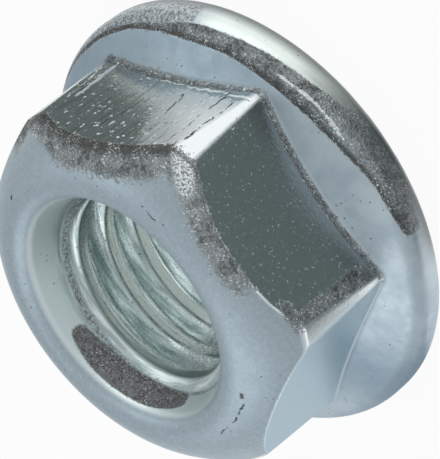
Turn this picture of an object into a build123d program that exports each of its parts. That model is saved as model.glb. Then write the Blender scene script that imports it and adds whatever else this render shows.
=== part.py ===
from build123d import *
from build123d.topology import SkipClean
from math import acos, atan2, cos, hypot, pi, radians, sin, sqrt, tan
import os

# Serrated hexagon flange nut, 3/8-16 UNC, cold-formed in one piece.
# Frame: millimetres. The origin is the centre of the bearing face, level with the tips of
# the serrations, and +Z runs up the thread axis to the hexagon end.

# Thread
THREAD_DIAMETER = 9.525        # major diameter of the unified thread
THREAD_PITCH = 1.5875          # 16 turns to the inch
THREAD_ANGLE = 60.0            # included angle of the flanks, degrees
THREAD_LIFT = 0.26             # height of the groove over the bearing face, at +X
CREST_ALLOWANCE = 0.1          # how far the crests stand back from the basic minor radius
MOUTH_ANGLE = 36.0             # included angle of the countersink at the front
ENTRY_DIAMETER = 10.5          # countersink in the bearing face
ENTRY_ANGLE = 90.0             # included angle of that countersink

# Hexagon
ACROSS_FLATS = 14.29
NUT_HEIGHT = 8.57              # tips of the serrations to the crest of the front ring
CROWN_WIDTH = 1.65             # from that crest out to the flats
RING_INNER_RADIUS = 0.75       # rounding from the crest down into the countersink
CROWN_RADIUS = 2.36            # rounding from the crest out to the flats
CORNER_TRIM = 0.11             # how far the corners stand inside a sharp hexagon at the rim
CORNER_RADIUS = 0.27           # rounding on both sides of each leaning corner

# Flange
FLANGE_STEP = 1.21             # how far the flange stands out past the corners
RIM_HEIGHT = 1.76              # where the cone of the flange would meet the rim
CONE_ANGLE = 23.5              # slope of the flange up to the hexagon, degrees
RIM_TOP_RADIUS = 0.88
RIM_FOOT_RADIUS = 0.33
NECK_RADIUS = 0.33             # fillet between the hexagon and the flange

# Serrations of the bearing face
TOOTH_COUNT = 30
TOOTH_DEPTH = 0.38
TOOTH_LENGTH = 2.5             # along the radius
TOOTH_LAND = 0.18              # flat tip of a tooth at its inner end
TOOTH_SETBACK = 0.11           # from the outer end of a tooth to the rounding of the rim
STEEP_RUN = 0.13               # run of the steep side, which bites when the nut unscrews

# Values that follow from these
MAJOR_RADIUS = THREAD_DIAMETER / 2
MINOR_RADIUS = MAJOR_RADIUS - THREAD_PITCH * sqrt(3) / 2 * 5 / 8 + CREST_ALLOWANCE
ROOT_FLAT = THREAD_PITCH / 8
RING_RADIUS = ACROSS_FLATS / 2 - CROWN_WIDTH
CORNER_RADIAL = ACROSS_FLATS / 2 / cos(radians(30)) - CORNER_TRIM
FLANGE_RADIUS = CORNER_RADIAL + FLANGE_STEP
SERRATION_OUTER = FLANGE_RADIUS - RIM_FOOT_RADIUS - TOOTH_SETBACK
SERRATION_INNER = SERRATION_OUTER - TOOTH_LENGTH
OVERRUN = 0.2                  # how far a cutting shape runs past the surface it cuts


def turned(outline):
    """The solid that a closed outline, drawn as radius and height, sweeps about the axis."""
    return revolve(make_face(Plane.XZ * outline), Axis.Z)


def flange():
    """The disc with its cone, its rim rounded above and below."""
    cone_rise = FLANGE_RADIUS * tan(radians(CONE_ANGLE))
    section = make_face(
        Polyline(
            (0, TOOTH_DEPTH),
            (FLANGE_RADIUS, TOOTH_DEPTH),
            (FLANGE_RADIUS, RIM_HEIGHT),
            (0, RIM_HEIGHT + cone_rise),
            close=True,
        )
    )
    rim_foot = section.vertices().sort_by_distance((FLANGE_RADIUS, TOOTH_DEPTH))[0]
    section = fillet(rim_foot, RIM_FOOT_RADIUS)
    rim_top = section.vertices().sort_by_distance((FLANGE_RADIUS, RIM_HEIGHT))[0]
    section = fillet(rim_top, RIM_TOP_RADIUS)
    return revolve(Plane.XZ * section, Axis.Z)


def crown_envelope():
    """The turned form that trims the hexagon: ring, rounding, then the lean of the corners."""
    centre_z = NUT_HEIGHT - CROWN_RADIUS
    run = CORNER_RADIAL - RING_RADIUS
    drop = centre_z - RIM_HEIGHT
    lean = acos(CROWN_RADIUS / hypot(run, drop)) - atan2(drop, run)
    half_turn = (pi / 2 - lean) / 2
    crest = (RING_RADIUS, NUT_HEIGHT)
    middle = (
        RING_RADIUS + CROWN_RADIUS * sin(half_turn),
        centre_z + CROWN_RADIUS * cos(half_turn),
    )
    end = (RING_RADIUS + CROWN_RADIUS * cos(lean), centre_z + CROWN_RADIUS * sin(lean))
    foot = (end[0] + end[1] * tan(lean), 0)
    rounding = ThreePointArc(crest, middle, end)
    sides = Polyline(end, foot, (0, 0), (0, NUT_HEIGHT), crest)
    return turned(rounding + sides)


def head():
    """The wrenching hexagon, its front crowned and its upright corners leaning."""
    base = Plane.XY.offset(TOOTH_DEPTH)
    prism = base * RegularPolygon(ACROSS_FLATS / 2, 6, major_radius=False)
    return extrude(prism, NUT_HEIGHT - TOOTH_DEPTH) & crown_envelope()


def rises_up_a_corner(edge):
    """Whether an edge of the blank runs up between a flat and a leaning corner."""
    low, high = sorted((edge @ 0, edge @ 1), key=lambda point: point.Z)
    return low.Z > RIM_HEIGHT and high.Z - low.Z > (NUT_HEIGHT - low.Z) / 3


def blank():
    """Head and flange as one body, its corners rounded and a small fillet between the two."""
    body = head() + flange()
    body = fillet(body.edges().filter_by(rises_up_a_corner), CORNER_RADIUS)
    cone = body.faces().filter_by(GeomType.CONE).sort_by(SortBy.AREA)[-1]
    rings = cone.edges().filter_by(lambda edge: edge.geom_type != GeomType.LINE)
    neck = rings.sort_by(SortBy.LENGTH)[:-1]
    return fillet(neck, NECK_RADIUS)


def mouth_cutter():
    """The front countersink, rolled over into the crest of the ring."""
    steep = radians(90 - MOUTH_ANGLE / 2)
    centre_z = NUT_HEIGHT - RING_INNER_RADIUS
    crest = (RING_RADIUS, NUT_HEIGHT)
    middle = (
        RING_RADIUS - RING_INNER_RADIUS * sin(steep / 2),
        centre_z + RING_INNER_RADIUS * cos(steep / 2),
    )
    lip = (
        RING_RADIUS - RING_INNER_RADIUS * sin(steep),
        centre_z + RING_INNER_RADIUS * cos(steep),
    )
    inner_radius = MINOR_RADIUS - OVERRUN
    inner_z = lip[1] - (lip[0] - inner_radius) * tan(steep)
    above = NUT_HEIGHT + OVERRUN
    rollover = ThreePointArc(crest, middle, lip)
    rest = Polyline(lip, (inner_radius, inner_z), (0, inner_z), (0, above), (RING_RADIUS, above), crest)
    return turned(rollover + rest)


def entry_cutter():
    """The countersink in the bearing face, from the floor between the serrations upward."""
    radius = ENTRY_DIAMETER / 2
    rise = radius / tan(radians(ENTRY_ANGLE / 2))
    outline = Polyline(
        (0, -OVERRUN),
        (radius, -OVERRUN),
        (radius, TOOTH_DEPTH),
        (0, TOOTH_DEPTH + rise),
        close=True,
    )
    return turned(outline)


def bore_cutter():
    """The hole at the thread's minor diameter, past both ends of the nut."""
    align = (Align.CENTER, Align.CENTER, Align.MIN)
    hole = Cylinder(MINOR_RADIUS, NUT_HEIGHT + 2 * OVERRUN, align=align)
    return Pos(0, 0, -OVERRUN) * hole


def thread_groove():
    """The space between the threads: a trapezoid swept up the helix, past both ends."""
    flank = tan(radians(THREAD_ANGLE / 2))
    inner_radius = MINOR_RADIUS - OVERRUN / 2
    root_half = ROOT_FLAT / 2
    inner_half = root_half + (MAJOR_RADIUS - inner_radius) * flank
    outline = Polyline(
        (MAJOR_RADIUS, -root_half),
        (MAJOR_RADIUS, root_half),
        (inner_radius, inner_half),
        (inner_radius, -inner_half),
        close=True,
    )
    path = Helix(THREAD_PITCH, NUT_HEIGHT + 2 * THREAD_PITCH, MAJOR_RADIUS)
    groove = sweep(make_face(Plane.XZ * outline), path=path, is_frenet=True)
    return groove.translate((0, 0, THREAD_LIFT - THREAD_PITCH))


def serration_ring():
    """The teeth of the bearing face: a raised ring, cut through by ratchet gullets."""
    ring = Circle(SERRATION_OUTER) - Circle(SERRATION_INNER)
    pad = extrude(ring, TOOTH_DEPTH)
    half = (2 * pi * SERRATION_INNER / TOOTH_COUNT - TOOTH_LAND) / 2
    profile = Polyline(
        (-half, -OVERRUN),
        (-half, 0),
        (STEEP_RUN - half, TOOTH_DEPTH),
        (half, 0),
        (half, -OVERRUN),
        close=True,
    )
    start = (SERRATION_INNER - OVERRUN, 0, 0)
    section = Plane(start, x_dir=(0, 1, 0), z_dir=(1, 0, 0)) * profile
    gullet = extrude(make_face(section), TOOTH_LENGTH + 2 * OVERRUN, dir=(1, 0, 0))
    step = 360 / TOOTH_COUNT
    turns = [Rot(0, 0, (index + 0.5) * step) for index in range(TOOTH_COUNT)]
    return pad - [turn * gullet for turn in turns]


def flange_nut():
    """The whole nut, joined from two halves so that each face of the thread is half a turn."""
    body = blank() + serration_ring()
    body = body - thread_groove() - bore_cutter() - mouth_cutter() - entry_cutter()
    with SkipClean():
        back, front = body.split(Plane.XZ, keep=Keep.BOTH)
        return back.fuse(front)


os.makedirs("parts", exist_ok=True)
export_step(flange_nut(), "parts/flange_nut.step")
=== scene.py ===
"""Serrated flange nut, 3/8-16: the dressed nut, its zinc plating, plain studio light and camera.

Lengths are in millimetres up to where a mesh, a lamp or the camera is made. Azimuths run from +X
and are written in degrees; theta holds them in radians. The three flats that the photo shows have
their middles at -30, -90 and -150.
"""
from math import cos, pi, radians, sin, sqrt, tan

import bpy
import numpy as np
from mathutils import Matrix, Vector

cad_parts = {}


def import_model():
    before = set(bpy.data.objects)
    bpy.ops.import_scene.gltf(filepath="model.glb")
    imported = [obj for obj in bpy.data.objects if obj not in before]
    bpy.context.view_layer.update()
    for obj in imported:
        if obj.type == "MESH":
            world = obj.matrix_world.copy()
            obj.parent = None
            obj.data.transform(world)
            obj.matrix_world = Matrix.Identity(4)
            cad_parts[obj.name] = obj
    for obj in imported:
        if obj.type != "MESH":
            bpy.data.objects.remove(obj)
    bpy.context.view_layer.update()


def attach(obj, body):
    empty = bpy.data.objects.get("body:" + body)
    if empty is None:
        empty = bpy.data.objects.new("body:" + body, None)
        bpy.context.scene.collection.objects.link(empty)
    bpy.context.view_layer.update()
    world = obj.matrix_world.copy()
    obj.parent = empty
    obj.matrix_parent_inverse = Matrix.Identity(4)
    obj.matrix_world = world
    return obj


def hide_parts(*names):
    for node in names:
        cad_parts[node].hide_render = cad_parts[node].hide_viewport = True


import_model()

MM = 0.001                     # metres in a millimetre

# ---------------------------------------------------------------- sizes, as in the CAD
THREAD_DIAMETER = 9.525
THREAD_PITCH = 1.5875
THREAD_ANGLE = 60.0
THREAD_LIFT = 0.26
CREST_ALLOWANCE = 0.1
MOUTH_ANGLE = 36.0
ENTRY_DIAMETER = 10.5

ACROSS_FLATS = 14.29
NUT_HEIGHT = 8.57
CROWN_WIDTH = 1.65
RING_INNER_RADIUS = 0.75
CORNER_TRIM = 0.11

FLANGE_STEP = 1.21
RIM_HEIGHT = 1.76
CONE_ANGLE = 23.5
RIM_TOP_RADIUS = 0.88
RIM_FOOT_RADIUS = 0.33
NECK_RADIUS = 0.33

TOOTH_COUNT = 30
TOOTH_DEPTH = 0.38
TOOTH_LENGTH = 2.5
TOOTH_LAND = 0.18
TOOTH_SETBACK = 0.11
STEEP_RUN = 0.13

# Values that follow from these
MAJOR = THREAD_DIAMETER / 2
MINOR = MAJOR - THREAD_PITCH * sqrt(3) / 2 * 5 / 8 + CREST_ALLOWANCE
RING_RADIUS = ACROSS_FLATS / 2 - CROWN_WIDTH
CORNER_RADIAL = ACROSS_FLATS / 2 / cos(pi / 6) - CORNER_TRIM
FLANGE_RADIUS = CORNER_RADIAL + FLANGE_STEP
TOOTH_OUTER = FLANGE_RADIUS - RIM_FOOT_RADIUS - TOOTH_SETBACK
TOOTH_INNER = TOOTH_OUTER - TOOTH_LENGTH
CONE_SLOPE = tan(radians(CONE_ANGLE))
CONE_BEND = tan(radians(90 + CONE_ANGLE) / 2)    # ties a fillet's radius to its reach along the cone
RIM_TURN = radians(90 - CONE_ANGLE)              # turn of the rim's upper rounding, wall to cone
RIM_CENTRE_R = FLANGE_RADIUS - RIM_TOP_RADIUS
RIM_CENTRE_Z = RIM_HEIGHT - RIM_TOP_RADIUS / CONE_BEND
LIP_TURN = radians(90 - MOUTH_ANGLE / 2)         # turn of the ring's rounding, crest to lip
LIP_R = RING_RADIUS - RING_INNER_RADIUS * sin(LIP_TURN)
LIP_Z = NUT_HEIGHT - RING_INNER_RADIUS * (1 - cos(LIP_TURN))

# ---------------------------------------------------------------- forms that only the scene has
SIDE_R = 7.94                  # top of the leaning corners
SIDE_Z = 6.72
SIDE_LEAN = (CORNER_RADIAL - SIDE_R) / (SIDE_Z - RIM_HEIGHT)
CROWN_PULL = ((7.60, 7.35), (6.50, NUT_HEIGHT))  # the two inner control points of its curve
STRIP_SOFT = 0.035             # rounding between a flat and a leaning corner
CROWN_SOFT = 0.12              # rounding between a flat and the crown
DEEP_FLAT = 4                  # the flat at azimuth -90, counted from the one at 30
DEEP_FLAT_SINK = 0.1

EDGE = 0.035                   # rounding at the edges of crest and root
LAST_CREST = 3.5               # turns up the helix to the middle of the topmost crest, at +X
RUNOUT = (0.52, 1.0)           # share of the last turn in which the thread fades into the mouth
RUNOUT_SHARP = 0.01            # half the height over which it ends before that
RUNOUT_SOFT = 0.28             # and what is added to it there
RUNOUT_EASE = (RUNOUT[0] - 0.04, RUNOUT[0] + 0.08)   # share of the turn in which that comes in

BEVEL = 0.025                  # on each side of a tooth's flat tip
BEVEL_RISE = (0.012, 0.03)     # how far it rises towards the slope and towards the steep side
SLOPE_SHARES = (0.35, 0.7)     # where the slope of a tooth has points between its foot and tip
TOOTH_NOSE = ((0.0, 0.1), (0.06, 0.02), (0.14, 0.0))   # its inner end: distance along it, height
TOOTH_END = 0.3                # rounding of the outer end of a tooth
SHELL_LAP = 0.25               # how far the shell of teeth reaches up into the flange
GULLET_LAP = 0.01              # how far the bottom of a gullet does

# ---------------------------------------------------------------- mesh density
SECTOR_COLUMNS = 68            # columns in a sixth of a turn
CORNER_COLUMNS = 44            # of which this many lie about the corner
CORNER_HALF = 12.5             # degrees on each side of the corner where they crowd
FLOOR_ROWS = 5                 # rows of points over each stretch of the outside, from below
FOOT_ROWS = 6
RIM_ROWS = 12
CONE_ROWS = 18
NECK_ROWS = 8
SIDE_ROWS = 34
CROWN_ROWS = 36
LIP_ROWS = 10
TOOTH_LOOPS = 5                # loops along the straight part of a tooth,
STRAIGHT_FROM = 0.5            # which begin this far from its inner end
END_TURNS = (25, 50, 70, 90)   # where loops lie round its outer end, in degrees
NECK_ROUNDS = 12               # rounds of the search for the foot of the hexagon
BORE_TURNS = range(-1, 6)      # turns of the helix that the bore needs, past both of its ends
FLANK_SHARES = (0.15, 0.38, 0.62, 0.85)
WELD_GRID = 20000              # steps in a mm; points that round to the same step are joined
TRIM_STEPS = 60                # points of the crown's curve from which the zones read its width


def smooth_step(low, high, value):
    """0 at low, 1 at high and smooth between them; low may be the larger of the two."""
    share = np.clip((value - low) / (high - low), 0, 1)
    return share * share * (3 - 2 * share)


def between(rise, fall, value):
    """1 from the end of a rise to the start of a fall, each a pair of values, and 0 past them."""
    return smooth_step(*rise, value) * (1 - smooth_step(*fall, value))


def peak_at(value, centre, half):
    """1 at the centre, falling smoothly to 0 at the given distance on either side."""
    return 1 - smooth_step(0.0, 1.0, np.abs(value - centre) / half)


def soft_min(a, b, width):
    """The smaller of two values, rounded over a width where they cross."""
    blend = np.maximum(width - np.abs(a - b), 0) / width
    return np.minimum(a, b) - blend * blend * width / 4


# ---------------------------------------------------------------- head and flange
def column_angles():
    """Azimuths of the columns, crowded about the six corners, which start at +X."""
    half = radians(CORNER_HALF)
    sixth = radians(60)
    near = np.linspace(-half, half, CORNER_COLUMNS, endpoint=False)
    far = np.linspace(half, sixth - half, SECTOR_COLUMNS - CORNER_COLUMNS, endpoint=False)
    one = np.concatenate([near, far])
    return np.concatenate([one + sixth * index for index in range(6)])


def cone_height(radius):
    """Height of the flange's cone, before its rim is rounded."""
    return RIM_HEIGHT + (FLANGE_RADIUS - radius) * CONE_SLOPE


def side_radius(height):
    """The leaning side of the turned form that trims the corners."""
    return SIDE_R + (SIDE_Z - height) * SIDE_LEAN


def crown_curve(count):
    """Points (radius, height) from the top of the corners over the crown to the crest of the ring."""
    t = np.linspace(0, 1, count)
    pulls = [(SIDE_R, SIDE_Z), *CROWN_PULL, (RING_RADIUS, NUT_HEIGHT)]
    weights = [(1 - t) ** 3, 3 * (1 - t) ** 2 * t, 3 * (1 - t) * t ** 2, t ** 3]
    radius = sum(weight * pull[0] for weight, pull in zip(weights, pulls))
    height = sum(weight * pull[1] for weight, pull in zip(weights, pulls))
    return radius, height


def flat_radius(theta):
    """Distance of the hexagon's flat from the axis at an azimuth; one flat lies a little deeper."""
    off = theta % (pi / 3) - pi / 6
    flat = np.floor(theta / (pi / 3)) % 6
    return (ACROSS_FLATS / 2 - np.where(flat == DEEP_FLAT, DEEP_FLAT_SINK, 0)) / np.cos(off)


def soft_width(height):
    """How softly a flat ends: sharply along the corners, rounder into the crown."""
    return STRIP_SOFT + (CROWN_SOFT - STRIP_SOFT) * smooth_step(SIDE_Z - 0.5, SIDE_Z + 0.6, height)


def flange_rows():
    """Rows of (radius, height) from the entry countersink, under the flange and round its rim."""
    foot_r = FLANGE_RADIUS - RIM_FOOT_RADIUS
    foot_z = TOOTH_DEPTH + RIM_FOOT_RADIUS
    rows = [(radius, TOOTH_DEPTH) for radius in np.linspace(ENTRY_DIAMETER / 2, foot_r, FLOOR_ROWS)]
    for turn in np.radians(np.linspace(-90, 0, FOOT_ROWS))[1:]:
        rows.append((foot_r + RIM_FOOT_RADIUS * cos(turn), foot_z + RIM_FOOT_RADIUS * sin(turn)))
    for turn in np.radians(np.linspace(0, 90 - CONE_ANGLE, RIM_ROWS)):
        radius = RIM_CENTRE_R + RIM_TOP_RADIUS * cos(turn)
        rows.append((radius, RIM_CENTRE_Z + RIM_TOP_RADIUS * sin(turn)))
    return rows


def hexagon_foot(flat):
    """Where the side of the hexagon would meet the cone without a fillet."""
    radius = flat
    for _ in range(NECK_ROUNDS):
        radius = soft_min(flat, side_radius(cone_height(radius)), STRIP_SOFT)
    return radius, cone_height(radius)


def head_rows(flat, cone_start):
    """Rows up the cone, round the fillet, up the side of the hexagon and over the crown."""
    foot_r, foot_z = hexagon_foot(flat)
    reach = NECK_RADIUS / CONE_BEND
    neck_r = foot_r + reach * cos(radians(CONE_ANGLE))
    neck_z = foot_z - reach * sin(radians(CONE_ANGLE))
    wall_z = foot_z + reach
    wall_r = soft_min(flat, side_radius(wall_z), STRIP_SOFT)
    rows = []
    for share in np.linspace(0, 1, CONE_ROWS)[1:]:
        radius = cone_start + (neck_r - cone_start) * share
        rows.append((radius, cone_height(radius)))
    for share in np.linspace(0, 1, NECK_ROWS)[1:]:
        a, b, c = (1 - share) ** 2, 2 * share * (1 - share), share ** 2
        rows.append((a * neck_r + b * foot_r + c * wall_r, a * neck_z + b * foot_z + c * wall_z))
    for share in np.linspace(0, 1, SIDE_ROWS)[1:]:
        height = wall_z + (SIDE_Z - wall_z) * share
        rows.append((soft_min(flat, side_radius(height), soft_width(height)), height))
    for radius, height in zip(*crown_curve(CROWN_ROWS)):
        if height > SIDE_Z:
            rows.append((soft_min(flat, radius, soft_width(height)), height))
    return rows


def lip_rows():
    """Rows from the crest of the ring down its rounding to the lip of the mouth."""
    rows = []
    for turn in np.linspace(0, LIP_TURN, LIP_ROWS)[1:]:
        radius = RING_RADIUS - RING_INNER_RADIUS * sin(turn)
        rows.append((radius, NUT_HEIGHT - RING_INNER_RADIUS * (1 - cos(turn))))
    return rows


def outer_rows(theta):
    """Rows from the entry countersink round the outside to the lip of the mouth."""
    flange = flange_rows()
    cone_start = flange[-1][0]
    return flange + head_rows(flat_radius(theta), cone_start) + lip_rows()


# ---------------------------------------------------------------- thread
def pitch_profile():
    """One pitch of the thread from root centre to root centre: (height, radius) pairs."""
    flank = tan(radians(THREAD_ANGLE / 2))
    root_half = THREAD_PITCH / 16
    crest_start = root_half + (MAJOR - MINOR) * flank
    middle = THREAD_PITCH / 2
    points = [(0.0, MAJOR), (root_half - EDGE, MAJOR), (root_half + EDGE * 0.4, MAJOR - EDGE * 0.7)]
    for share in FLANK_SHARES:
        points.append((root_half + (crest_start - root_half) * share, MAJOR + (MINOR - MAJOR) * share))
    points += [(crest_start - EDGE * 0.4, MINOR + EDGE * 0.7), (crest_start + EDGE, MINOR)]
    points += [((crest_start + EDGE + middle) / 2, MINOR), (middle, MINOR)]
    mirrored = [(THREAD_PITCH - height, radius) for height, radius in reversed(points[1:-1])]
    return points + mirrored


def bore_rows(theta):
    """Sheared rows of the bore, each one a curve at a fixed place on the thread's profile."""
    share = theta / (2 * pi)
    flare = tan(radians(MOUTH_ANGLE / 2))
    soft = RUNOUT_SHARP + RUNOUT_SOFT * smooth_step(*RUNOUT_EASE, share)
    crest_z = THREAD_LIFT + THREAD_PITCH * (share + LAST_CREST - smooth_step(*RUNOUT, share))
    root_z = crest_z + THREAD_PITCH / 2
    rows = []
    for turn in BORE_TURNS:
        for height, radius in pitch_profile():
            z = THREAD_LIFT + THREAD_PITCH * (share + turn) + height
            mouth = np.maximum(LIP_R - (LIP_Z - z) * flare, MINOR)
            near_crest = smooth_step(crest_z - soft, crest_z + soft, z)
            near_root = smooth_step(root_z - soft, root_z + soft, z)
            r = radius + (np.minimum(radius, mouth) - radius) * near_crest
            r = r + (mouth - r) * near_root
            r = np.maximum(r, ENTRY_DIAMETER / 2 - (z - TOOTH_DEPTH))
            r = np.where(z <= TOOTH_DEPTH, ENTRY_DIAMETER / 2, np.where(z >= LIP_Z, LIP_R, r))
            rows.append((r, np.clip(z, TOOTH_DEPTH, LIP_Z)))
    return rows


# ---------------------------------------------------------------- meshes
def row_points(theta, radius, height):
    """One row of points; radius and height are numbers or vary with the azimuth."""
    height = np.broadcast_to(height, theta.shape)
    return np.stack([radius * np.cos(theta), radius * np.sin(theta), height], 1)


def build_nut():
    """Points and faces of the nut without its teeth."""
    theta = column_angles()
    count = len(theta)
    outside = outer_rows(theta)
    bore = bore_rows(theta)
    per_pitch = len(pitch_profile())
    verts = np.concatenate([row_points(theta, *row) for row in outside + bore])

    def outer(row, col):
        return row * count + col % count

    def inner(row, col):
        """A point of the bore, where a full turn leads one pitch up."""
        if col >= count:
            row += per_pitch
            col -= count
        return (len(outside) + row) * count + col

    faces = []
    for row in range(len(outside) - 1):
        for col in range(count):
            low = (outer(row, col), outer(row, col + 1))
            faces.append((*low, outer(row + 1, col + 1), outer(row + 1, col)))
    for row in range(len(bore) - 1):
        for col in range(count):
            if row + 1 + per_pitch >= len(bore) and col == count - 1:
                continue
            high = (inner(row + 1, col), inner(row + 1, col + 1))
            faces.append((*high, inner(row, col + 1), inner(row, col)))
    return verts, faces


def tooth_lines(radius):
    """Azimuths and heights across the serrations at one radius, from one gullet's bottom to the next."""
    half = (2 * pi * TOOTH_INNER / TOOTH_COUNT - TOOTH_LAND) / 2
    to_tip = np.arcsin(half / radius)
    to_bottom = np.arcsin((half - STEEP_RUN) / radius)
    step = 2 * pi / TOOTH_COUNT
    bevel = BEVEL / radius
    depth = TOOTH_DEPTH + GULLET_LAP
    angles = []
    for index in range(TOOTH_COUNT):
        before = (index - 0.5) * step
        after = (index + 0.5) * step
        bottom = before - to_bottom
        slope_end = before + to_tip
        land_end = after - to_tip
        next_bottom = after - to_bottom
        angles.append(bottom)
        angles += [bottom + (slope_end - bottom) * share for share in SLOPE_SHARES]
        angles += [slope_end - bevel, slope_end + bevel, land_end - bevel, land_end + bevel * 0.3]
        angles.append((land_end + next_bottom) / 2)
    slope = [depth * (1 - share) for share in SLOPE_SHARES]
    heights = [depth, *slope, BEVEL_RISE[0], 0.0, 0.0, BEVEL_RISE[1], depth / 2]
    return np.array(angles), np.array(heights * TOOTH_COUNT)


def build_teeth():
    """The ring of serrations, a closed shell whose upper side is sunk in the flange."""
    top = TOOTH_DEPTH + SHELL_LAP
    straight = np.linspace(TOOTH_INNER + STRAIGHT_FROM, TOOTH_OUTER - TOOTH_END, TOOTH_LOOPS)
    loops = [(TOOTH_INNER, top)]
    loops += [(TOOTH_INNER + along, height) for along, height in TOOTH_NOSE]
    loops += [(radius, 0.0) for radius in straight]
    for turn in np.radians(END_TURNS):
        loops.append((TOOTH_OUTER - TOOTH_END + TOOTH_END * sin(turn), TOOTH_END * (1 - cos(turn))))
    loops.append((TOOTH_OUTER, top))
    verts = []
    for radius, lowest in loops:
        angles, heights = tooth_lines(radius)
        verts.append(row_points(angles, radius, np.maximum(heights, lowest)))
    count = len(verts[0])
    faces = []
    for row in range(len(loops)):
        near = row * count
        far = (row + 1) % len(loops) * count
        for col in range(count):
            beside = (col + 1) % count
            faces.append((near + col, near + beside, far + beside, far + col))
    return np.concatenate(verts), faces


def tidy_mesh(name, verts, faces):
    """Weld equal points, drop empty and doubled faces and make one mesh of what is left."""
    keys = np.round(verts * WELD_GRID).astype(np.int64)
    _, first, inverse = np.unique(keys, axis=0, return_index=True, return_inverse=True)
    inverse = inverse.reshape(-1)
    welded = verts[first]
    kept = []
    seen = set()
    for face in faces:
        ring = []
        for index in (int(inverse[corner]) for corner in face):
            if not ring or ring[-1] != index:
                ring.append(index)
        if len(ring) > 1 and ring[0] == ring[-1]:
            ring.pop()
        key = tuple(sorted(ring))
        if len(ring) < 3 or len(set(ring)) < len(ring) or key in seen:
            continue
        seen.add(key)
        kept.append(tuple(ring))
    mesh = bpy.data.meshes.new(name)
    mesh.from_pydata([tuple(point * MM) for point in welded], [], kept)
    mesh.validate()
    return mesh, welded


def make_nut():
    """The dressed nut: body and teeth in one mesh, with the zones of its finish and of its painted light
    and shade.
    """
    verts, faces = build_nut()
    tooth_verts, tooth_faces = build_teeth()
    shift = len(verts)
    verts = np.concatenate([verts, tooth_verts])
    faces += [tuple(index + shift for index in face) for face in tooth_faces]
    mesh, points = tidy_mesh("nut_body", verts, faces)
    paint(mesh, points)
    for polygon in mesh.polygons:
        polygon.use_smooth = True
    obj = bpy.data.objects.new("nut_body", mesh)
    bpy.context.scene.collection.objects.link(obj)
    return obj


# ---------------------------------------------------------------- zones of the finish and of the painted light and shade
LEFT_FLAT = -30                # azimuths of the flats that carry placed marks
RIGHT_FLAT = -90
BAND_CORNER = -61              # azimuth where the two halves of the crown's dark band meet

# Where the rim's dark band runs: azimuth, then its inner and outer edge, measured over the rim
RIM_BAND = (
    (-112, 9.4, 10.2),
    (-105, 9.14, 10.25),
    (-95, 9.0, 10.3),
    (-86, 8.72, 10.1),
    (-77, 8.56, 9.8),
    (-67, 8.5, 9.5),
    (-58, 8.5, 9.4),
    (-45, 8.55, 9.24),
    (-34, 8.52, 9.2),
    (-25, 8.64, 9.0),
    (-12, 8.85, 9.05),
    (12, 9.0, 9.2),
    (34, 9.15, 9.3),
)
# The bright line is a painted highlight streak.
STREAK = ((-84, 9.02), (-72, 9.1), (-56, 8.9))   # the bright line in it, measured likewise


def turn_from(theta, degrees):
    """Signed distance in degrees from an azimuth."""
    return (np.degrees(theta) - degrees + 180) % 360 - 180


def rim_path(r, z):
    """Length measured out from the axis over the flange's cone, its rounded rim and down its wall."""
    start = RIM_CENTRE_R + RIM_TOP_RADIUS * sin(radians(CONE_ANGLE))
    turned = RIM_TURN - np.clip(np.arctan2(z - RIM_CENTRE_Z, r - RIM_CENTRE_R), 0, RIM_TURN)
    return np.where(r < start, r, start + RIM_TOP_RADIUS * turned + np.maximum(RIM_CENTRE_Z - z, 0))


class Surface:
    """Where the points of the mesh lie, and the parts of the nut that the zones are cut from."""

    def __init__(self, points):
        self.x, self.y, self.z = points.T
        self.r = np.hypot(self.x, self.y)
        self.theta = np.arctan2(self.y, self.x)
        self.turn = turn_from(self.theta, 0)
        crown_r, crown_z = crown_curve(TRIM_STEPS)
        above = np.interp(self.z, crown_z, crown_r)
        self.trim = np.where(self.z > SIDE_Z, above, side_radius(self.z))
        self.flat = flat_radius(self.theta)
        self.past = self.flat - self.trim        # how far the turned form cuts inside the flats
        self.over_cone = self.z - cone_height(self.r)
        inside = (self.r < RING_RADIUS - 0.02) & (self.z > TOOTH_DEPTH + 0.001)
        self.inside = inside.astype(float)
        self.outside = 1 - self.inside
        self.head = self.outside * smooth_step(0.02, 0.1, self.over_cone)
        self.skirt = self.outside * (1 - self.head) * (self.z > TOOTH_DEPTH + 0.05)
        self.wall = self.head * smooth_step(-0.02, 0.06, -self.past)

    def across(self, azimuth):
        """Place across a flat, in mm from its middle towards rising azimuth."""
        return self.y * cos(radians(azimuth)) - self.x * sin(radians(azimuth))


def wall_zones(on):
    """The three flats that the photo shows, the corners beside them and their placed marks."""
    left = on.wall * between((-60.5, -59.5), (-1, 1), on.turn)
    right = on.wall * between((-121, -120), (-60, -59), on.turn)
    scuff_reach = -0.8 - 0.4 * (on.z - 4.0) - on.across(LEFT_FLAT)
    by_corner = right * smooth_step(2.9, 3.4, -on.across(RIGHT_FLAT)) * smooth_step(2.6, 3.4, on.z)
    on_corner = on.head * peak_at(on.turn, -114, 9) * peak_at(on.z, 6.9, 0.55)
    corner = on.head * smooth_step(-0.01, 0.05, on.past)
    return {
        "wall": on.wall,
        "left_wall": left,
        "right_wall": right,
        "third_wall": on.wall * between((-181, -180), (-120, -119), on.turn),
        # Painted dark reflection on the lower part of the left and right flats.
        "low_wall": np.maximum(left, right) * (1 - smooth_step(2.8, 4.0, on.z)),
        "scuff": left * smooth_step(-0.9, 0.5, scuff_reach) * smooth_step(3.1, 3.5, on.z),
        # Painted dark reflection by the corner between the right and the third flat.
        "corner_dark": np.maximum(by_corner, on_corner),
        # Painted highlight along the leaning corners.
        "corner_highlight": corner * (1 - smooth_step(SIDE_Z, SIDE_Z + 0.25, on.z)),
    }


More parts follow.
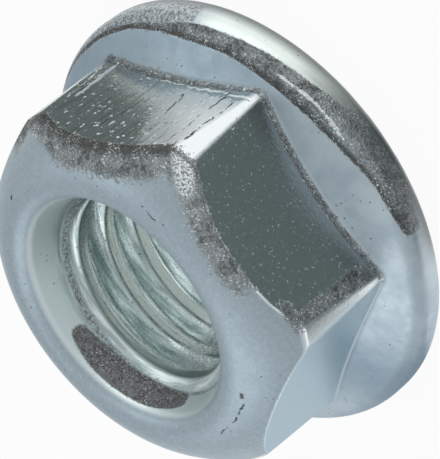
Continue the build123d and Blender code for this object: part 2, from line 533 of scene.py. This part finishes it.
def crown_zones(on):
    """The crown, the painted dark reflection along two of its edges and the painted glints where they meet.
    """
    spread = 0.6 * between((-66, -56), (-22, -8), on.turn)
    band = on.head * between((-0.2, -0.1), (0.3, 0.95 + spread), on.past)
    band *= between((-108, -96), (4, 14), on.turn) * (1 - 0.2 * (on.turn < BAND_CORNER))
    band *= smooth_step(SIDE_Z - 0.3, SIDE_Z + 0.3, on.z)
    sparkle = on.head * peak_at(on.turn + 8 * (on.z - 7.0), BAND_CORNER, 7)
    return {
        "crown": np.maximum(on.head * (1 - on.wall), on.inside) * smooth_step(6.5, 7.0, on.z),
        # Painted dark reflection along two edges of the crown, with a darker painted edge.
        "crown_band": band,
        "crown_edge": band * (1 - smooth_step(0.12, 0.42, on.past)) * (on.turn > BAND_CORNER),
        # Painted glints where the two halves of the band meet.
        "sparkle": sparkle * between((6.85, 7.0), (7.3, 8.0), on.z),
    }


def flange_zones(on):
    """Painted reflections on the rim, its dark band, streak, grey and highlight; painted shade on the cone
    and neck.
    """
    path = rim_path(on.r, on.z)
    azimuths, inner, outer = (np.array(column, dtype=float) for column in zip(*RIM_BAND))
    band_in = np.interp(on.turn, azimuths, inner)
    band_out = np.interp(on.turn, azimuths, outer)
    past_band = smooth_step(band_out - 0.05, band_out + 0.08, path)
    beyond = on.skirt * past_band
    band = on.skirt * smooth_step(band_in - 0.05, band_in + 0.05, path) * (1 - past_band)
    band *= between((-112, -109), (20, 45), on.turn)
    shade = on.skirt * (1 - smooth_step(band_in - 0.1, band_in + 0.1, path))
    shade *= 0.75 * between((-75, -55), (20, 60), on.turn)
    streak_at = np.interp(on.turn, *zip(*STREAK))
    streak = on.skirt * (1 - smooth_step(0.02, 0.1, np.abs(path - streak_at)))
    outline = on.skirt * smooth_step(10.15, 10.25, path)
    neck_reach = 0.26 + 0.16 * smooth_step(-40, -20, on.turn)
    from_neck = np.abs(on.over_cone - 0.12) + np.abs(np.minimum(on.trim, on.flat) - on.r)
    neck = on.outside * (1 - smooth_step(0.1, neck_reach, from_neck))
    return {
        # Painted dark reflection round the rim, darker at its inner edge and greyer where it turns.
        "rim_band": band,
        "rim_edge": band * (1 - smooth_step(0.1, 0.32, path - band_in)),
        "band_grey": band * between((-72, -80), (-92, -100), on.turn),
        # Painted grey reflection on the rim beyond the band.
        "rim_grey": beyond * between((-35, -32), (20, 50), on.turn),
        # Painted highlight on the rim beyond the band.
        "rim_highlight": beyond * between((-100, -84), (-40, -32), on.turn),
        # Painted highlight streak in the band.
        "rim_streak": streak * between((-86, -80), (-64, -52), on.turn),
        # Painted shade along the rim's outer edge.
        "outline": outline * between((-125, -110), (10, 40), on.turn),
        "shade": shade + on.skirt * peak_at(on.turn, -158, 26),
        # Painted shade in the crease along the foot of the flats.
        "neck": neck * between((-124, -118), (-2, 4), on.turn),
    }


def mouth_zones(on):
    """The bore, its crests, glint and speckled start, and the mouth's cone, painted paler, with its
    crescent of painted shade.
    """
    climb = (on.z - THREAD_LIFT) / THREAD_PITCH - (on.theta % (2 * pi)) / (2 * pi)
    start = on.inside * peak_at(climb, LAST_CREST + 0.42, 0.2)
    from_middle = np.abs(turn_from(on.theta, 130)) / 42
    crescent = on.inside * (1 - smooth_step(0.85, 1.0, from_middle))
    crescent *= smooth_step(-0.1, 0.1, 8.1 - 0.4 * from_middle ** 3 - on.z)
    crescent *= smooth_step(-0.15, 0.15, on.z - 7.0 - 0.3 * from_middle ** 3)
    cone = on.inside * smooth_step(6.0, 6.8, on.z)
    glint = on.inside * peak_at(turn_from(on.theta, 150), 0, 18)
    return {
        "bore": on.inside * (1 - smooth_step(6.9, 7.4, on.z)),
        "crest": on.inside * (1 - smooth_step(MINOR + 0.02, MINOR + 0.12, on.r)) * (on.z < LIP_Z),
        "thread_start": start * (1 - smooth_step(7.2, 7.5, on.z)),
        "glint": glint * (1 - smooth_step(6.2, 6.6, on.z)),
        # The mouth's cone, coated pale as a painted reflection.
        "mouth_cone": cone * (1 - smooth_step(LIP_R - 0.05, LIP_R + 0.3, on.r)),
        # Painted shade in a crescent inside the mouth, tinted brown.
        "crescent": crescent,
    }


def paint(mesh, points):
    """Zones of the finish and of the painted reflections, highlights and shade, as numbers from 0 to 1 on
    the mesh.
    """
    on = Surface(points)
    zones = {**wall_zones(on), **crown_zones(on), **flange_zones(on), **mouth_zones(on)}
    zones["dark_edge"] = np.maximum(zones.pop("crown_edge"), zones.pop("rim_edge"))
    for name, values in zones.items():
        layer = mesh.attributes.new(name, "FLOAT", "POINT")
        layer.data.foreach_set("value", values.astype(np.float32))


# ---------------------------------------------------------------- placed marks
def round_point(azimuth, radius, height):
    """A point from its azimuth, its distance from the axis and its height."""
    a = radians(azimuth)
    return (radius * cos(a), radius * sin(a), height)


def flat_point(azimuth, across, height):
    """A point on a flat, from its place across and its height."""
    a = radians(azimuth)
    depth = ACROSS_FLATS / 2
    return (depth * cos(a) - across * sin(a), depth * sin(a) + across * cos(a), height)


def flat_mark(azimuth, first, second, half_width):
    """A straight mark on a flat, between two places on it."""
    return flat_point(azimuth, *first), flat_point(azimuth, *second), half_width


DARK_MARKS = [
    flat_mark(LEFT_FLAT, (-3.5, 3.4), (-3.5, 6.2), 0.045),
    flat_mark(LEFT_FLAT, (-3.5, 5.6), (-3.35, 7.0), 0.03),
    flat_mark(LEFT_FLAT, (-2.9, 2.9), (-2.95, 4.1), 0.04),
    flat_mark(LEFT_FLAT, (-1.2, 3.6), (-1.5, 5.4), 0.045),
    flat_mark(LEFT_FLAT, (-2.4, 5.2), (-1.8, 5.7), 0.035),
    flat_mark(LEFT_FLAT, (-2.9, 4.6), (-3.0, 6.4), 0.025),
    flat_mark(LEFT_FLAT, (3.35, 5.2), (3.45, 3.1), 0.035),
    flat_mark(RIGHT_FLAT, (-0.25, 3.75), (-0.35, 4.0), 0.05),
    flat_mark(RIGHT_FLAT, (-0.5, 4.3), (-0.6, 4.5), 0.05),
    (round_point(302, 6.05, 8.46), round_point(290, 6.05, 8.46), 0.03),
    (round_point(17, 6.0, 8.47), round_point(18, 6.0, 8.47), 0.07),
    (round_point(214, 6.22, 8.39), round_point(204, 6.16, 8.41), 0.045),
    (round_point(204, 6.16, 8.41), round_point(192, 6.06, 8.45), 0.03),
    (round_point(219, 6.1, 8.43), round_point(217, 6.13, 8.43), 0.08),
]
PALE_MARKS_AND_NECK_HIGHLIGHT = [
    flat_mark(LEFT_FLAT, (3.0, 5.1), (3.15, 2.85), 0.09),
    flat_mark(LEFT_FLAT, (3.25, 5.3), (3.65, 3.1), 0.05),
    # These two are a painted highlight along the neck.
    flat_mark(LEFT_FLAT, (1.4, 3.12), (-1.6, 3.08), 0.045),
    flat_mark(LEFT_FLAT, (-1.6, 3.08), (-4.2, 3.0), 0.08),
    flat_mark(RIGHT_FLAT, (3.7, 4.6), (3.72, 3.85), 0.035),
    flat_mark(RIGHT_FLAT, (3.48, 4.55), (3.45, 3.85), 0.035),
    flat_mark(RIGHT_FLAT, (3.25, 4.6), (3.3, 4.05), 0.03),
]


# ---------------------------------------------------------------- materials
ZINC = (0.64, 0.72, 0.77, 1)
ZINC_CROWN = (0.45, 0.525, 0.57, 1)
ZINC_BLUE = (0.54, 0.63, 0.69, 1)
ZINC_SHADE = (0.32, 0.41, 0.48, 1)
# Pale of the painted reflection on the mouth's cone, and of the bore's turned rings.
PALE_CONE = (0.92, 1.0, 1.0, 1)
BRIGHT = (0.95, 1.0, 1.0, 1)
# Colour of the painted highlight on the rim.
RIM_HIGHLIGHT = (0.90, 0.98, 0.93, 1)
THREAD_TEAL = (0.50, 0.59, 0.58, 1)
CREST_PALE = (0.36, 0.43, 0.41, 1)
BURNISHED = (0.76, 0.85, 0.86, 1)
# The left and the third flat have tones of their own, painted reflections.
LEFT_FLAT_REFLECTION = (0.93, 1.0, 0.96, 1)
THIRD_FLAT_REFLECTION = (0.72, 0.83, 0.88, 1)
MIDDLE = (0.37, 0.40, 0.41, 1)
GREY = (0.29, 0.31, 0.315, 1)
DARK = (0.10, 0.098, 0.095, 1)
# Brown tint of the painted shade inside the mouth.
BROWN = (0.17, 0.13, 0.135, 1)


class Nodes:
    """Short calls for building one material's node tree."""

    def __init__(self, tree):
        self.tree = tree

    def node(self, kind, **settings):
        made = self.tree.nodes.new(kind)
        for key, value in settings.items():
            setattr(made, key, value)
        return made

    def feed(self, socket, value):
        """Gives an input a number or a colour, or links it to an output."""
        if isinstance(value, bpy.types.NodeSocket):
            self.tree.links.new(value, socket)
        else:
            socket.default_value = value

    def shader(self, kind, **values):
        """A shader with some of its inputs set, named with _ for a space."""
        made = self.node(kind)
        for name, value in values.items():
            self.feed(made.inputs[name.replace("_", " ")], value)
        return made.outputs[0]

    def surface(self, shader):
        """Ends the tree in a shader."""
        self.feed(self.node("ShaderNodeOutputMaterial").inputs["Surface"], shader)

    def math(self, operation, first, second):
        made = self.node("ShaderNodeMath", operation=operation)
        self.feed(made.inputs[0], first)
        self.feed(made.inputs[1], second)
        return made.outputs[0]

    def times(self, first, second):
        return self.math("MULTIPLY", first, second)

    def plus(self, first, second):
        return self.math("ADD", first, second)

    def most(self, first, *others):
        """The largest of some values."""
        for other in others:
            first = self.math("MAXIMUM", first, other)
        return first

    def swing(self, pattern):
        """A pattern about 0 from one about a half."""
        return self.math("SUBTRACT", pattern, 0.5)

    def zone(self, name):
        return self.node("ShaderNodeAttribute", attribute_name=name).outputs["Fac"]

    def noise(self, where, scale, detail=2.0, rough=0.5, output="Fac"):
        made = self.node("ShaderNodeTexNoise")
        settings = {"Vector": where, "Scale": scale, "Detail": detail, "Roughness": rough}
        for name, setting in settings.items():
            self.feed(made.inputs[name], setting)
        return made.outputs[output]

    def cells(self, where, scale):
        """Distance from the nearest of the points that are strewn about."""
        made = self.node("ShaderNodeTexVoronoi")
        self.feed(made.inputs["Vector"], where)
        self.feed(made.inputs["Scale"], scale)
        return made.outputs["Distance"]

    def ramp(self, value, low, high, to_low=0.0, to_high=1.0):
        """One value at low and below, another at high and above, and smooth between them."""
        made = self.node("ShaderNodeMapRange", interpolation_type="SMOOTHSTEP")
        settings = {"Value": value, "From Min": low, "From Max": high, "To Min": to_low, "To Max": to_high}
        for name, setting in settings.items():
            self.feed(made.inputs[name], setting)
        return made.outputs["Result"]

    def vector(self, operation, first, second, output="Vector"):
        made = self.node("ShaderNodeVectorMath", operation=operation)
        self.feed(made.inputs[0], first)
        self.feed(made.inputs["Scale" if operation == "SCALE" else 1], second)
        return made.outputs[output]

    def line(self, where, first, second, half_width):
        """A fine straight mark between two points."""
        run = Vector(second) - Vector(first)
        start = self.vector("SUBTRACT", where, first)
        along = self.vector("DOT_PRODUCT", start, run / run.length_squared, "Value")
        along = self.math("MINIMUM", self.math("MAXIMUM", along, 0.0), 1.0)
        on_line = self.vector("SCALE", tuple(run), along)
        far = self.vector("DISTANCE", start, on_line, "Value")
        return self.ramp(far, half_width * 0.5, half_width * 1.4, 1.0, 0.0)

    def lines(self, where, marks):
        """Several fine marks, each given as two points and half a width."""
        return self.most(*(self.line(where, *mark) for mark in marks))

    def coats(self, tone, layers):
        """Colours laid over a tone one after the other, each where its mask says."""
        for mask, colour in layers:
            made = self.node("ShaderNodeMix", data_type="RGBA")
            self.feed(made.inputs["Factor"], mask)
            self.feed(made.inputs[6], tone)
            self.feed(made.inputs[7], colour)
            tone = made.outputs[2]
        return tone

    def mix(self, share, first, second):
        """One colour going over into another."""
        return self.coats(first, [(share, second)])

    def blends(self, value, layers):
        """Numbers laid over a value one after the other, each where its mask says."""
        for mask, number in layers:
            made = self.node("ShaderNodeMix", data_type="FLOAT")
            self.feed(made.inputs["Factor"], mask)
            self.feed(made.inputs[2], value)
            self.feed(made.inputs[3], number)
            value = made.outputs[0]
        return value


def new_material(name, kind=Nodes):
    """An empty material and the calls that fill it."""
    material = bpy.data.materials.new(name)
    material.use_nodes = True
    material.node_tree.nodes.clear()
    return material, kind(material.node_tree)


class Plating(Nodes):
    """The zinc: its patterns and masks, then the tone, roughness and relief made from them."""

    def __init__(self, tree):
        super().__init__(tree)
        coords = self.node("ShaderNodeTexCoord").outputs["Object"]
        self.where = self.vector("SCALE", coords, 1 / MM)
        self.make_patterns()
        self.make_masks()
        self.make_marks()

    def make_patterns(self):
        """Noise from slow to fine, and noise drawn out down the flats or round the thread."""
        self.slow = self.noise(self.where, 0.8, 3.0, 0.6)
        self.blotch = self.noise(self.where, 1.6, 3.0, 0.6)
        self.hammered = self.noise(self.where, 6.5, 3.0, 0.6)
        self.grain = self.noise(self.where, 14.0, 3.0, 0.7)
        self.fine = self.noise(self.where, 42.0, 2.0, 0.6)
        self.streaks = self.noise(self.vector("MULTIPLY", self.where, (9.0, 9.0, 0.6)), 1.0, 3.0, 0.65)
        self.rings = self.noise(self.vector("MULTIPLY", self.where, (0.5, 0.5, 9.0)), 1.0, 3.0, 0.6)
        # Bright specks, painted glints in the dark and grey zones.
        self.specks = self.ramp(self.grain, 0.57, 0.63)
        self.ragged = self.plus(
            self.times(self.swing(self.grain), 1.4),
            self.times(self.swing(self.hammered), 1.2),
        )

    def torn(self, name, low=0.3, high=0.6):
        """A zone whose edge breaks up into specks."""
        return self.ramp(self.plus(self.zone(name), self.ragged), low, high)

    def make_masks(self):
        """Zones that more than one of tone, roughness and relief needs."""
        self.wall = self.zone("wall")
        self.left_wall = self.zone("left_wall")
        self.corner_highlight = self.zone("corner_highlight")
        self.bore = self.zone("bore")
        self.mouth_cone = self.zone("mouth_cone")
        self.glint = self.zone("glint")
        self.crescent = self.zone("crescent")
        neck = self.times(self.torn("neck", 0.45, 0.7), self.ramp(self.blotch, 0.38, 0.5, 0.45, 1.0))
        crescent = self.plus(self.crescent, self.times(self.ragged, 0.5))
        crescent = self.times(self.ramp(crescent, 0.25, 0.7), self.ramp(self.blotch, 0.36, 0.52, 0.85, 1.0))
        # The bands and the corner patch are painted dark reflections, the neck and the crescent painted
        # shade.
        bands = self.most(self.torn("crown_band"), self.torn("rim_band"))
        self.dark_zone = self.most(bands, neck, crescent, self.torn("corner_dark", 0.45, 0.6))
        self.grey_zone = self.most(self.torn("rim_grey"), self.torn("thread_start", 0.4, 0.7))
        self.rough_zone = self.most(self.dark_zone, self.grey_zone)
        scuff = self.zone("scuff")
        torn_scuff = self.plus(self.times(self.swing(self.streaks), 3.0), self.times(self.ragged, 0.5))
        torn_scuff = self.ramp(self.plus(scuff, torn_scuff), 0.4, 0.75)
        self.scuffed = self.times(torn_scuff, self.ramp(scuff, 0.0, 0.2))

    def make_marks(self):
        """The placed marks, two of them a painted highlight along the neck, and the pits and pale dots
        strewn by chance.
        """
        shake = self.vector("SUBTRACT", self.noise(self.where, 2.2, output="Color"), (0.5, 0.5, 0.5))
        wavy = self.vector("ADD", self.where, self.vector("SCALE", shake, 0.35))
        self.dark_marks = self.lines(wavy, DARK_MARKS)
        self.pale_marks_and_neck_highlight = self.lines(wavy, PALE_MARKS_AND_NECK_HIGHLIGHT)
        dot = self.ramp(self.cells(wavy, 3.0), 0.16, 0.3, 1.0, 0.0)
        dotted = self.plus(self.left_wall, self.times(self.zone("right_wall"), 0.14))
        dotted = self.times(dotted, self.ramp(self.blotch, 0.32, 0.5))
        dot = self.times(dot, self.ramp(self.hammered, 0.46, 0.54))
        self.dot = self.times(dot, self.ramp(dotted, 0.08, 0.4))
        pit = self.ramp(self.cells(self.where, 3.4), 0.06, 0.13, 1.0, 0.0)
        self.pit = self.times(pit, self.ramp(self.noise(self.where, 2.1, 1.0), 0.52, 0.6))

    def clean_tone(self):
        """Zinc where it is neither dark nor grey: crown, mouth, bore, flats and cone, with painted
        reflections, highlights and shade.
        """
        crown = self.mix(self.ramp(self.hammered, 0.3, 0.9), ZINC_CROWN, ZINC_BLUE)
        bore = self.mix(self.ramp(self.rings, 0.4, 0.62), THREAD_TEAL, PALE_CONE)
        tone = self.mix(self.ramp(self.slow, 0.35, 0.7), ZINC, ZINC_BLUE)
        return self.coats(tone, [
            (self.zone("crown"), crown),
            # Painted reflection: the mouth's cone coated pale.
            (self.ramp(self.plus(self.mouth_cone, self.bore), 0.2, 0.9), PALE_CONE),
            (self.bore, bore),
            (self.zone("crest"), CREST_PALE),
            (self.times(self.glint, self.ramp(self.grain, 0.42, 0.54)), BRIGHT),
            (self.wall, BURNISHED),
            # Painted reflections on the left and the third flat.
            (self.left_wall, LEFT_FLAT_REFLECTION),
            (self.zone("third_wall"), THIRD_FLAT_REFLECTION),
            (self.times(self.left_wall, self.ramp(self.streaks, 0.46, 0.7, 0.0, 0.6)), GREY),
            # Painted dark reflection on the lower part of the left and right flats.
            (self.times(self.zone("low_wall"), 0.75), MIDDLE),
            # Painted highlight along the leaning corners.
            (self.corner_highlight, BRIGHT),
            (self.scuffed, BRIGHT),
            (self.times(self.zone("shade"), 0.85), ZINC_SHADE),
            # Painted highlight on the rim.
            (self.zone("rim_highlight"), RIM_HIGHLIGHT),
        ])

    def dark_tone(self):
        """The dark bands and the crescent, painted dark reflection and painted shade, mottled and full of
        bright specks painted as glints.
        """
        tone = self.mix(self.ramp(self.hammered, 0.4, 0.6), DARK, GREY)
        return self.coats(tone, [
            (self.ramp(self.blotch, 0.42, 0.6, 0.1, 0.6), MIDDLE),
            (self.times(self.zone("band_grey"), self.ramp(self.hammered, 0.35, 0.6, 0.4, 1.0)), MIDDLE),
            (self.times(self.zone("dark_edge"), 0.85), DARK),
            # Brown tint over the crescent's painted shade.
            (self.times(self.crescent, self.ramp(self.hammered, 0.4, 0.6, 0.9, 0.4)), BROWN),
            (self.times(self.specks, self.ramp(self.blotch, 0.4, 0.55)), BRIGHT),
        ])

    def tone(self):
        """The colour of the whole nut, with its painted reflections, highlights and shade."""
        grey = self.mix(self.ramp(self.hammered, 0.4, 0.6), GREY, ZINC)
        streak = self.times(self.torn("rim_streak", 0.35, 0.7), self.ramp(self.blotch, 0.4, 0.5, 0.3, 1.0))
        sparkles = self.times(self.ramp(self.zone("sparkle"), 0.1, 0.7), self.ramp(self.grain, 0.45, 0.53))
        return self.coats(self.clean_tone(), [
            # Painted grey reflection on the rim and the speckled start of the thread, with painted glints.
            (self.grey_zone, self.mix(self.specks, grey, BRIGHT)),
            # Painted dark reflections and painted shade: bands, corner patch, neck and crescent.
            (self.dark_zone, self.dark_tone()),
            # Painted highlight streak in the rim's band.
            (streak, BRIGHT),
            # Painted shade along the rim's outer edge.
            (self.zone("outline"), GREY),
            # Painted glints on the crown.
            (sparkles, BRIGHT),
            # Pale marks, and a painted highlight along the neck.
            (self.pale_marks_and_neck_highlight, BRIGHT),
            (self.dark_marks, DARK),
            (self.times(self.pit, 0.8), DARK),
            (self.dot, BRIGHT),
        ])

    def roughness(self):
        """Smooth on the flats and in the bore, duller elsewhere and uneven in the dark bands."""
        return self.blends(self.ramp(self.blotch, 0.3, 0.7, 0.46, 0.52), [
            (self.wall, self.ramp(self.hammered, 0.3, 0.7, 0.17, 0.25)),
            (self.scuffed, 0.36),
            (self.corner_highlight, 0.25),
            (self.bore, self.ramp(self.hammered, 0.3, 0.7, 0.2, 0.3)),
            (self.mouth_cone, 0.44),
            (self.rough_zone, self.ramp(self.grain, 0.4, 0.6, 0.18, 0.4)),
            (self.most(self.dot, self.pale_marks_and_neck_highlight), 0.6),
        ])

    def relief(self):
        """Height of the fine relief, in mm: patterns and marks, each with how far it stands up."""
        grain = self.swing(self.grain)
        hammer = self.swing(self.hammered)
        parts = [
            (self.swing(self.fine), 0.0016),
            (grain, 0.003),
            (self.times(self.most(self.rough_zone, self.glint), grain), 0.05),
            (self.times(self.rough_zone, hammer), 0.06),
            (hammer, 0.005),
            (self.times(self.bore, self.swing(self.rings)), 0.02),
            (self.pit, -0.02),
            (self.dot, -0.015),
            (self.most(self.dark_marks, self.pale_marks_and_neck_highlight), -0.02),
        ]
        height = 0.0
        for pattern, size in parts:
            height = self.plus(height, self.times(pattern, size))
        return height


def zinc_material():
    """Zinc plating over steel, with the finish that the photo shows."""
    material, n = new_material("zinc_plated_steel", Plating)
    bump = n.shader("ShaderNodeBump", Strength=1.0, Distance=MM, Height=n.relief())
    n.surface(n.shader(
        "ShaderNodeBsdfPrincipled",
        # The tone holds painted reflections, highlights and shade as well as the finish.
        Base_Color=n.tone(),
        Metallic=1.0,
        Roughness=n.roughness(),
        Normal=bump,
    ))
    return material


# ---------------------------------------------------------------- studio
FLOOR_SIZE = 1200
FLOOR_WHITE = (0.9, 0.9, 0.9, 1)
GLOW_WHITE = (1, 1, 1, 1)
FLOOR_GLOW = 0.93              # share of the glow in what is seen of the floor
WORLD_COLOUR = (0.93, 0.97, 1.0, 1)
WORLD_STRENGTH = 0.58
BLACK_CARD = (0.17, 0.19, 0.185)
BLUE_CARD = (0.80, 0.86, 0.90)
CARD_HEIGHT = 0.3

# Cards that lie about the nut and darken what its sides mirror: name, middle, size and which card
CARDS = (
    ("card_right", (-6, -19), (23, 19), "black"),
    ("card_left", (24, 8), (26, 24), "black"),
    ("card_back", (-17, 3), (17, 24), "blue"),
)
# Name, azimuth, elevation, distance, size, radiance and colour
LAMPS = (
    ("key", -18, 12, 160, (130, 50), 1.7, (0.97, 1.0, 0.97)),
    ("side", 150, 50, 180, (140, 110), 0.8, (0.93, 0.97, 1.0)),
    ("glint", 34, 54, 120, (26, 22), 4.0, (0.95, 1.0, 1.0)),
)


def floor_material():
    """White floor: it glows to the camera and in reflections and is plain white to other light."""
    material, n = new_material("studio_floor")
    rays = n.node("ShaderNodeLightPath").outputs
    seen = n.most(*(rays[name] for name in ("Is Camera Ray", "Is Glossy Ray", "Is Transmission Ray")))
    mix = n.node("ShaderNodeMixShader")
    n.feed(mix.inputs[0], n.times(seen, FLOOR_GLOW))
    n.feed(mix.inputs[1], n.shader("ShaderNodeBsdfDiffuse", Color=FLOOR_WHITE))
    n.feed(mix.inputs[2], n.shader("ShaderNodeEmission", Color=GLOW_WHITE, Strength=1.0))
    n.surface(mix.outputs[0])
    return material


def card_material(name, colour):
    """Plain matt card."""
    material, n = new_material(name)
    n.surface(n.shader("ShaderNodeBsdfDiffuse", Color=(*colour, 1)))
    return material


def plate(name, centre, size, material):
    """A flat card that faces up: its centre and size in millimetres."""
    width, height = size[0] / 2 * MM, size[1] / 2 * MM
    mesh = bpy.data.meshes.new(name)
    corners = [(-width, -height, 0), (width, -height, 0), (width, height, 0), (-width, height, 0)]
    mesh.from_pydata(corners, [], [(0, 1, 2, 3)])
    mesh.materials.append(material)
    obj = bpy.data.objects.new(name, mesh)
    obj.location = Vector(centre) * MM
    bpy.context.scene.collection.objects.link(obj)
    return obj


def card(name, middle, size, material):
    """A studio card that shows only in reflections."""
    obj = plate(name, (*middle, CARD_HEIGHT), size, material)
    obj.visible_camera = False
    obj.visible_diffuse = False
    obj.visible_shadow = False
    obj.visible_transmission = False


def from_direction(azimuth, elevation, distance):
    """A point at a distance from the origin."""
    e = radians(elevation)
    return Vector(round_point(azimuth, distance * cos(e), distance * sin(e)))


def lamp(name, azimuth, elevation, distance, size, radiance, colour):
    """A rectangular light aimed at the origin."""
    data = bpy.data.lights.new(name, "AREA")
    data.shape = "RECTANGLE"
    data.size, data.size_y = size[0] * MM, size[1] * MM
    data.energy = radiance * pi * size[0] * size[1] * MM * MM
    data.color = colour
    obj = bpy.data.objects.new(name, data)
    where = from_direction(azimuth, elevation, distance)
    obj.location = where * MM
    obj.rotation_euler = (-where).to_track_quat("-Z", "Y").to_euler()
    bpy.context.scene.collection.objects.link(obj)


def world():
    """Even light from all round."""
    made = bpy.data.worlds.new("studio_world")
    bpy.context.scene.world = made
    made.use_nodes = True
    back = made.node_tree.nodes["Background"]
    back.inputs["Color"].default_value = WORLD_COLOUR
    back.inputs["Strength"].default_value = WORLD_STRENGTH


def studio():
    """Floor, cards, lamps and world."""
    plate("studio_floor", (0, 0, 0), (FLOOR_SIZE, FLOOR_SIZE), floor_material())
    cards = {
        "black": card_material("black_card", BLACK_CARD),
        "blue": card_material("blue_card", BLUE_CARD),
    }
    for name, middle, size, kind in CARDS:
        card(name, middle, size, cards[kind])
    for settings in LAMPS:
        lamp(*settings)
    world()


# ---------------------------------------------------------------- camera
CAMERA_AT = (11.052, -77.2515, 58.6645)
CAMERA_AIM = (-0.0854, 1.0941, 1.5165)
CAMERA_ROLL = -128.09
CAMERA_LENS = 190.844
CAMERA_SENSOR = 36.0
CAMERA_SEES = (0.001, 10.0)    # nearest and farthest, in metres


def camera():
    """The photo's camera."""
    data = bpy.data.cameras.new("camera")
    data.lens = CAMERA_LENS
    data.sensor_width = CAMERA_SENSOR
    data.clip_start, data.clip_end = CAMERA_SEES
    obj = bpy.data.objects.new("camera", data)
    where = Vector(CAMERA_AT) * MM
    level = (Vector(CAMERA_AIM) * MM - where).to_track_quat("-Z", "Y").to_matrix()
    roll = Matrix.Rotation(radians(CAMERA_ROLL), 3, "Z")
    obj.matrix_world = Matrix.Translation(where) @ (level @ roll).to_4x4()
    bpy.context.scene.collection.objects.link(obj)
    bpy.context.scene.camera = obj


zinc = zinc_material()
nut = make_nut()
nut.data.materials.append(zinc)
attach(nut, "root")
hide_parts("flange_nut")
studio()
camera()
bpy.context.scene.view_settings.view_transform = "Standard"
